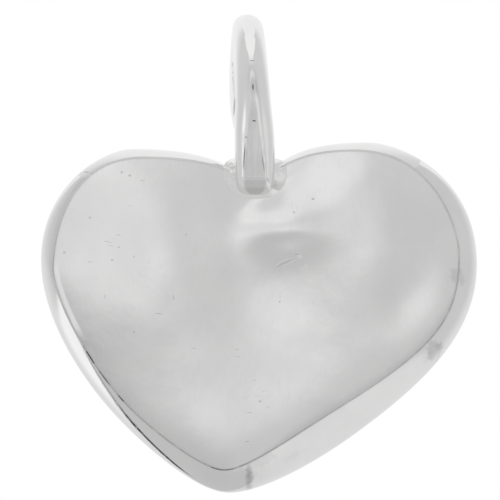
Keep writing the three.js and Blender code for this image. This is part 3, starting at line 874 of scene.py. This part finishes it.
def forged_wire_tree(material):
    """Sweeps the forged wire's changing section along the line that the tree is given."""
    tree, given = make_group(
        "forged_wire", "GeometryNodeTree",
        {
            "Line": None, "Stations": 420, "Sides": 72, "Foot rounding": FOOT_ROUNDING * MM,
            "Facet easing": FACET_EASING * MM,
        },
    )
    path = result(tree, "GeometryNodeMeshToCurve", {"Mesh": given["Line"]})
    length = result(tree, "GeometryNodeCurveLength", {"Curve": path})
    columns = given["Sides"] + 1
    grid = result(tree, "GeometryNodeMeshGrid", {"Vertices X": given["Stations"], "Vertices Y": columns})
    index = result(tree, "GeometryNodeInputIndex")
    row = calc("FLOOR", (index + 0.5) / columns)
    column = index - row * columns
    share = (1.0 - calc("COSINE", row / (given["Stations"] - 1) * math.pi)) * 0.5
    inputs = {"Curves": path, "Factor": share}
    sample = results(tree, "GeometryNodeSampleCurve", inputs, use_all_curves=True)
    outward = vector_calc("CROSS_PRODUCT", (1.0, 0.0, 0.0), sample["Tangent"])

    # The feet are rounded off at both ends, with nearly square corners as seen from the front
    from_end = calc("MINIMUM", share, 1.0 - share) * length
    short = 1.0 - calc("MINIMUM", from_end / given["Foot rounding"], 1.0)
    rounding = calc("SQRT", 1.0 - short * short)
    squarer = calc("POWER", 1.0 - calc("POWER", short, 4.0), 0.25)
    thickness = float_curve(share, LOOP_THICKNESS) * rounding
    level = thickness - float_curve(share, LOOP_FACET) * rounding

    # An oval section, standing on the line, with a flat filed on its outside
    angle = column / given["Sides"] * (2 * math.pi)
    half_width = float_curve(share, LOOP_WIDTH) * 0.5 * squarer
    sideways = half_width * calc("COSINE", angle) + float_curve(share, LOOP_LEAN)
    rise = thickness * 0.5 * (calc("SINE", angle) + 1.0)
    flat = ramp(rise - level, 0.006 * MM, 0.03 * MM)
    rise = calc("SMOOTH_MIN", rise, level, given["Facet easing"])
    inputs = {0: outward, "Scale": rise}
    out_move = result(tree, "ShaderNodeVectorMath", inputs, "Vector", operation="SCALE")
    side_move = result(tree, "ShaderNodeCombineXYZ", {"X": sideways})
    place = vector_calc("ADD", vector_calc("ADD", sample["Position"], out_move), side_move)
    wire = worked(
        grid,
        ("SetPosition", {"Position": place}),
        ("StoreNamedAttribute", {"Name": "flat", "Value": flat}),
        ("MergeByDistance", {"Distance": MERGE_DISTANCE}),
        ("RealizeInstances", {}),
        ("SetMaterial", {"Material": material}),
    )
    return put_out(tree, {"Wire": wire}, GEOMETRY)


def seam_tree(material):
    """Lays a flat, slightly uneven band of solder along the line that the tree is given."""
    tree, given = make_group(
        "solder_seam", "GeometryNodeTree",
        {
            "Line": None, "Width": SEAM_WIDTH * MM, "Depth": PLATE_THICKNESS * MM,
            "Unevenness": SEAM_UNEVENNESS * MM,
        },
    )
    path = result(tree, "GeometryNodeMeshToCurve", {"Mesh": given["Line"]})
    path = result(tree, "GeometryNodeSetCurveNormal", {"Curve": path, "Normal": (0.0, 1.0, 0.0)}, mode="FREE")
    inputs = {"Width": given["Depth"], "Height": given["Width"]}
    profile = result(tree, "GeometryNodeCurvePrimitiveQuadrilateral", inputs)
    band = result(tree, "GeometryNodeCurveToMesh", {"Curve": path, "Profile Curve": profile})
    drop = (grain(result(tree, "GeometryNodeInputPosition"), 1400.0) - 0.5) * given["Unevenness"]
    band = worked(
        band,
        ("SetPosition", {"Offset": result(tree, "ShaderNodeCombineXYZ", {"Y": drop})}),
        ("RealizeInstances", {}),
        ("SetMaterial", {"Material": material}),
    )
    return put_out(tree, {"Seam": band}, GEOMETRY)


def run_tree(name, tree, line, closed):
    """The plain mesh that a node tree makes of a line, given about the heart's centre."""
    count = len(line)
    edges = [(i, (i + 1) % count) for i in range(count if closed else count - 1)]
    source = raw_mesh(name + "_line", in_frame(line).tolist(), edges, [])
    carrier = add_object(name + "_line", source)
    modifier = carrier.modifiers.new("nodes", "NODES")
    modifier.node_group = tree
    depsgraph = bpy.context.evaluated_depsgraph_get()
    mesh = bpy.data.meshes.new_from_object(carrier.evaluated_get(depsgraph), depsgraph=depsgraph)
    carrier.modifiers.remove(modifier)
    bpy.data.objects.remove(carrier)
    bpy.data.meshes.remove(source)
    mesh.name = name
    return clean(mesh, crease=40)


# The solder round the feet


def surface_tree(*meshes):
    """One search tree over several meshes, for finding the metal under a fillet."""
    points, faces = [], []
    for mesh in meshes:
        start = len(points)
        points += [v.co.copy() for v in mesh.vertices]
        faces += [tuple(start + i for i in face.vertices) for face in mesh.polygons]
    return BVHTree.FromPolygons(points, faces)


def squared(share, power):
    """A share of a circle's width, moved outwards, so that the circle turns squarer."""
    return math.copysign(abs(share) ** power, share)


def foot_fillet(name, ground, centre, side, below, above, bead, climb, outward, plane, wrinkle, brim=None):
    """Solder round a foot: a bead at its edge on the metal under it, climbing from there to the wire.

    Above the brim it doesn't follow the wall down, but fills the corner beside the wire.
    """
    shares = np.linspace(0, 1, FILLET_RINGS) ** 0.8
    top, under = [[] for _ in shares], [[] for _ in shares]
    for k in range(FILLET_POINTS):
        angle = 2 * math.pi * k / FILLET_POINTS
        reach, squareness = (above, 0.55) if math.sin(angle) > 0 else (below, 0.9)
        across, along = squared(math.cos(angle), squareness), squared(math.sin(angle), squareness)
        for i, share in enumerate(shares):
            x = centre[0] + side * share * across
            z = centre[1] + reach * share * along
            start = Vector(in_frame((x, outward * 9, z)))
            hit = ground.ray_cast(start, Vector((0, -outward, 0)))[0]
            level = hit.y / MM - HEART_CENTRE[1] if hit else None
            seat = level
            if brim is not None and z > brim:
                filled = plane - outward * (0.06 + 0.14 * (z - brim) ** 2)
                seat = filled if level is None else outward * max(outward * level, outward * filled)
                level = filled - outward * 0.45 if level is None else level
            lift = min((1 - share) / 0.42, 1.0) ** 1.5
            coarse, fine = (noise.noise(Vector((f * x, f * z, seed))) for f, seed in ((2.6, 3.0), (6, 7.0)))
            crumple = (coarse + 0.6 * fine) * (wrinkle * max(-across, 0.1) * math.sin(math.pi * share))
            edge = bead * math.sqrt(max(1 - share**6, 0)) - CLEARANCE
            y = (seat + outward * edge) * (1 - lift) + (plane + outward * climb) * lift
            top[i].append((x, y + outward * crumple, z))
            under[i].append((x, level - outward * 0.2, z))
    rings = top + under[::-1]
    return make_mesh(name, np.vstack(rings), strip_faces(len(rings), FILLET_POINTS), crease=60)


# Stage, lamps and camera

# The front of the tent, seen flat: place across and up, reach across and up, and how much brighter
TENT_FRONT = [
    (0.05, 0.44, 0.20, 0.27, 0.3),
    (0.14, 0.105, 0.21, 0.20, 0.15),
    (0.125, -0.185, 0.15, 0.165, 0.19),
    (0.09, 0.39, 0.22, 0.18, -0.32),
]
# The rest of it: grey cards at both sides, one long lamp over the pendant from behind to the front,
# and small things: what they are, their direction, spread, and how much brighter they are
CARD_TONE = 0.66
CARD_TONE_BEHIND = 0.82
LAMP_TONE = 0.92
LAMP_TONE_LOW = 0.8
LAMP_HALF_WIDTH = 0.41
LAMP_NARROWING = 0.27
LAMP_BORDER = 0.04
TENT_PATCHES = [
    ("shade under the camera", (0.25, -0.72, -0.6), 0.16, -0.2),
    ("white strip at the left", (-0.64, -0.76, -0.1), 0.03, 0.4),
    ("white strip at the right", (0.72, -0.68, -0.08), 0.03, 0.1),
    ("shade under the pendant", (0.1, 0.1, -1.0), 0.1, -0.08),
]
# The grey paper under the pendant has two straight edges, each a plane through the pendant, and a
# lit table beyond them.
PAPER_TONE, PAPER_TONE_NEAR = 0.6, 0.66
LEFT_EDGE, LEFT_EDGE_AT = (-0.628, 0.469, 0.621), 0.47
RIGHT_EDGE, RIGHT_EDGE_AT = (0.8, 0.0, 0.6), -0.2
GAP_WIDTH = 0.02
DARKEST = 0.04


def build_stage():
    """A pale floor far under the pendant, which takes its shadow."""
    half, drop = 2.0, -0.15
    corners = [(-half, -half, drop), (half, -half, drop), (half, half, drop), (-half, half, drop)]
    floor_mesh = raw_mesh("floor", corners, [], [(0, 1, 2, 3)])
    floor = add_object("floor", floor_mesh)
    paper = bpy.data.materials.new("pale_paper")
    inputs = {"Base Color": (0.86, 0.86, 0.86, 1), "Roughness": 0.9}
    shader = result(empty_tree(paper), "ShaderNodeBsdfPrincipled", inputs)
    add_node(shader.tree, "ShaderNodeOutputMaterial", {"Surface": shader})
    floor_mesh.materials.append(paper)
    floor.visible_glossy = False


def oval(p, q, centre_p, centre_q, reach_p, reach_q, amount):
    """A soft oval patch of light or shade on the front of the tent."""
    across, up = (p - centre_p) / reach_p, (q - centre_q) / reach_q
    return bell(across * across + up * up) * amount


def round_patch(direction, centre, spread, amount):
    """A soft round patch of light or shade in that direction from the pendant."""
    towards = vector_calc("DOT_PRODUCT", direction, tuple(Vector(centre).normalized()))
    return bell((1.0 - towards) / spread) * amount


def tent_sides(direction, x, y, z):
    """The cards and the long lamp, with the small things in front of them."""
    along = calc("MAXIMUM", ramp(z, 0.6, 0.78), ramp(y, 0.0, 0.3))
    past_edge = calc("ABSOLUTE", x) + ramp(y, 0.0, -0.2) * ramp(z, 0.9, 0.7, 0.0, LAMP_NARROWING)
    lamp = ramp(past_edge, LAMP_HALF_WIDTH + LAMP_BORDER, LAMP_HALF_WIDTH - LAMP_BORDER) * along
    card = ramp(y, 0.5, 1.0, CARD_TONE, CARD_TONE_BEHIND)
    level = between(card, ramp(z, 0.15, 0.5, LAMP_TONE_LOW, LAMP_TONE), lamp)
    for _, centre, spread, amount in TENT_PATCHES:
        level += round_patch(direction, centre, spread, amount)
    return level


def tent_below(level, direction, x, y, z):
    """The grey paper, the lit table beyond its two edges, and the dark gap under its left edge."""
    left = vector_calc("DOT_PRODUCT", direction, LEFT_EDGE) - LEFT_EDGE_AT
    right = vector_calc("DOT_PRODUCT", direction, RIGHT_EDGE) - RIGHT_EDGE_AT
    lit_left = ramp(left, 0.012, 0.045) * ramp(left, 0.27, 0.2) * ramp(z, 0.04, -0.08) * ramp(y, 0.1, 0.4)
    level = between(level, ramp(y, 0.95, 0.7, 0.78, 1.03), lit_left)
    lit_right = ramp(right, -0.02, 0.03) * ramp(right, 0.51, 0.43) * ramp(right - y * 0.3, 0.46, 0.36)
    level = between(level, ramp(right, 0.03, 0.2, 0.75, 0.8), lit_right * ramp(z, -0.05, -0.2))
    low = ramp(z, -0.05, -0.15)
    on_paper = ramp(calc("MAXIMUM", left, right), 0.012, -0.012) * low
    level = between(level, ramp(y, 0.15, -0.15, PAPER_TONE, PAPER_TONE_NEAR), on_paper)
    gap = bell((left + (y * 0.12 - 0.078)) / GAP_WIDTH) * low
    gap *= ramp(y, 0.64, 0.82, 0.3, 0.85) * ramp(y, 0.94, 0.89) * ramp(x, 0.1, -0.1)
    return calc("MAXIMUM", level - gap, DARKEST)


def tent_front(x, y, z):
    """The front of the tent, round the camera."""
    depth = calc("MAXIMUM", y * -1.0, 0.15)
    p, q = x / depth, z / depth
    level = p * -0.05 + q * -0.14 + 0.666
    for values in TENT_FRONT:
        level += oval(p, q, *values)
    return level


def shine(level):
    """Ends a material that gives light at that level."""
    glow = result(level.tree, "ShaderNodeEmission", {"Strength": level})
    add_node(level.tree, "ShaderNodeOutputMaterial", {"Surface": glow})


def only_mirrored(thing):
    thing.visible_camera = False
    thing.visible_diffuse = False
    thing.visible_shadow = False


def build_tent():
    """The light tent that the silver mirrors: cards, lamp, paper and the front round the camera."""
    material, _, place = new_material("light_tent")
    direction = vector_calc("NORMALIZE", place)
    x, y, z = parts(direction)
    level = tent_below(tent_sides(direction, x, y, z), direction, x, y, z)
    shine(between(level, tent_front(x, y, z), ramp(y, -0.72, -0.86)))
    mesh = bpy.data.meshes.new("light_tent")
    shape = bmesh.new()
    bmesh.ops.create_icosphere(shape, subdivisions=5, radius=2.0)
    shape.to_mesh(mesh)
    shape.free()
    mesh.materials.append(material)
    tent = add_object("light_tent", mesh)
    tent.location = (0.0, 0.0, -0.0146)
    only_mirrored(tent)


def build_loop_card():
    """A small card bent round behind the loop, which only the loop mirrors."""
    radius, bottom, top, columns = 12.0, -9.0, 26.0, 49
    reach, white_reach = math.radians(125), math.radians(55)
    turns = np.linspace(-reach, reach, columns)
    flat = np.stack([radius * np.sin(turns), radius * np.cos(turns)], axis=1)
    points = [(x * MM, y * MM, z * MM) for z in (bottom, top) for x, y in flat]
    mesh = raw_mesh("loop_card", points, [], strip_faces(2, columns, closed=False))
    white, _, place = new_material("white_card")
    x, y, _ = parts(place)
    shine(ramp(calc("ABSOLUTE", calc("ARCTAN2", x, y)), reach, white_reach, CARD_TONE, 0.93))
    mesh.materials.append(white)
    card = add_object("loop_card", mesh)
    only_mirrored(card)


def build_world():
    """White for the camera and in mirrors, and paler as a light."""
    world = bpy.data.worlds.new("white_studio")
    bpy.context.scene.world = world
    rays = results(empty_tree(world), "ShaderNodeLightPath")
    seen = calc("MAXIMUM", rays["Is Camera Ray"], rays["Is Glossy Ray"])
    seen = calc("MAXIMUM", seen, rays["Is Transmission Ray"])
    light = 0.55
    inputs = {"Color": (1, 1, 1, 1), "Strength": seen * (1 - light) + light}
    sky = result(seen.tree, "ShaderNodeBackground", inputs)
    add_node(seen.tree, "ShaderNodeOutputWorld", {"Surface": sky})


def build_lamp():
    lamp = bpy.data.lights.new("soft_overhead", "AREA")
    lamp.shape = "DISK"
    lamp.size = 0.5
    lamp.energy = 5.0
    holder = add_object("soft_overhead", lamp)
    holder.location = (-0.25, -0.3, 0.7)
    aim = Vector((0, 0, -0.02)) - holder.location
    holder.rotation_euler = aim.to_track_quat("-Z", "Y").to_euler()
    holder.visible_glossy = False


def build_camera():
    """The photograph's view, from a little below, 34.4 mm wide where the heart is."""
    distance, tilt, width = 0.6, math.radians(10), 34.4
    target = Vector((0.206, -1.0, -14.77)) * MM
    camera = bpy.data.cameras.new("camera")
    camera.sensor_width = 36.0
    camera.lens = camera.sensor_width * distance / (width * MM)
    camera.clip_start, camera.clip_end = 0.01, 10.0
    holder = add_object("camera", camera)
    back = Vector((0, -math.cos(tilt), -math.sin(tilt)))
    holder.location = target + back * distance
    holder.rotation_euler = (-back).to_track_quat("-Z", "Y").to_euler()
    bpy.context.scene.camera = holder


# Assembly

bpy.context.scene.view_settings.view_transform = "Standard"
build_camera()
build_world()
build_lamp()
build_stage()
build_tent()
build_loop_card()

# The face has painted shade beside the seam, widest at the lower right
face_silver = silver(
    "hammered_silver", ripple=0.011, marks=[(FACE_FLAWS, HEART_Y)],
    shade_by_seam={"Low right reach": 0.3, "Rubbed depth": 0.05},
)
# The wall has painted shade beside the seam, widest at the left flank
wall_silver = silver(
    "wall_silver", gloss=(0.03, 0.06), ripple=0.004, ripple_scale=1500.0,
    marks=[(WALL_FLAWS, HEART_Y)], stain_and_shade=joint_stain, shade_by_seam={"Left reach": 0.3},
)
back_silver = silver("back_silver", gloss=(0.06, 0.12))
# The wire's filed flat is darkened as painted shade
wire_silver = silver(
    "wire_silver", bright=0.91, pits=0.03,
    marks=[(WIRE_FLAWS, LEG_Y), (REAR_LEG_PAINTED_SHADE, REAR_LEG_Y)], forged=0.006, flat_painted_shade=0.24,
)
bright_solder = silver("foot_solder", bright=0.9, gloss=(0.07, 0.14), ripple=0.02, ripple_scale=900.0)
# The seam is painted darker towards the bottom and the lower left, as painted shade
seam_solder = silver(
    "seam_solder", bright=0.82, gloss=(0.25, 0.4), ripple=0.01, ripple_scale=1500.0,
    marks=[(SEAM_FLAWS, HEART_Y)], stain_and_shade=painted_seam_darkening,
)

face_mesh = hammered_face()
back_mesh = back_sheet()
joint_steps = joint_at[2] - joint_at[1]
wall_mesh = wall_piece("rounded_wall", joint_at[2], RING - joint_steps + 1)
joint_mesh = wall_piece("wall_joint", joint_at[1], joint_steps + 1)
for mesh in (face_mesh, wall_mesh, joint_mesh):
    note_seam(mesh)
add_piece("hammered_face", face_mesh, face_silver, "face_plate")
add_piece("rounded_wall", wall_mesh, wall_silver, "side_wall")
add_piece("back_sheet", back_mesh, back_silver, "back_plate")
add_piece("wall_joint", joint_mesh, wall_silver, "wall_joint_solder")

wire_mesh = run_tree("forged_loop", forged_wire_tree(wire_silver), loop_inside(), closed=False)
add_piece("forged_loop", wire_mesh, wire_silver, "bail_loop")

SEAM = seam_tree(seam_solder)
seam_middle = (PLATE_THICKNESS + SEAM_RECESS) / 2
face_groove = ring(face_edge, face_out, SEAM_INSET, -FACE_DEPTH + seam_middle)
back_groove = ring(back_edge, girth_out, SEAM_INSET, BACK_DEPTH - seam_middle)
face_seam = run_tree("face_seam", SEAM, face_groove, closed=True)
add_piece("face_seam", face_seam, seam_solder, "face_seam_solder")
back_seam = run_tree("back_seam", SEAM, back_groove, closed=True)
add_piece("back_seam", back_seam, seam_solder, "back_seam_solder")

collar = foot_fillet(
    "front_collar", surface_tree(face_mesh, wall_mesh), centre=(0.0, 8.3), side=2.2, below=1.75, above=1.2,
    bead=0.12, climb=0.45, outward=-1, plane=-FACE_DEPTH, wrinkle=0.3, brim=8.05,
)
add_piece("front_collar", collar, bright_solder, "front_foot_solder")
fillet = foot_fillet(
    "rear_fillet", surface_tree(back_mesh, wall_mesh), centre=(0.0, 6.9), side=1.75, below=1.75, above=1.0,
    bead=0.05, climb=0.45, outward=1, plane=BACK_DEPTH, wrinkle=0.02,
)
add_piece("rear_fillet", fillet, bright_solder, "rear_foot_solder")
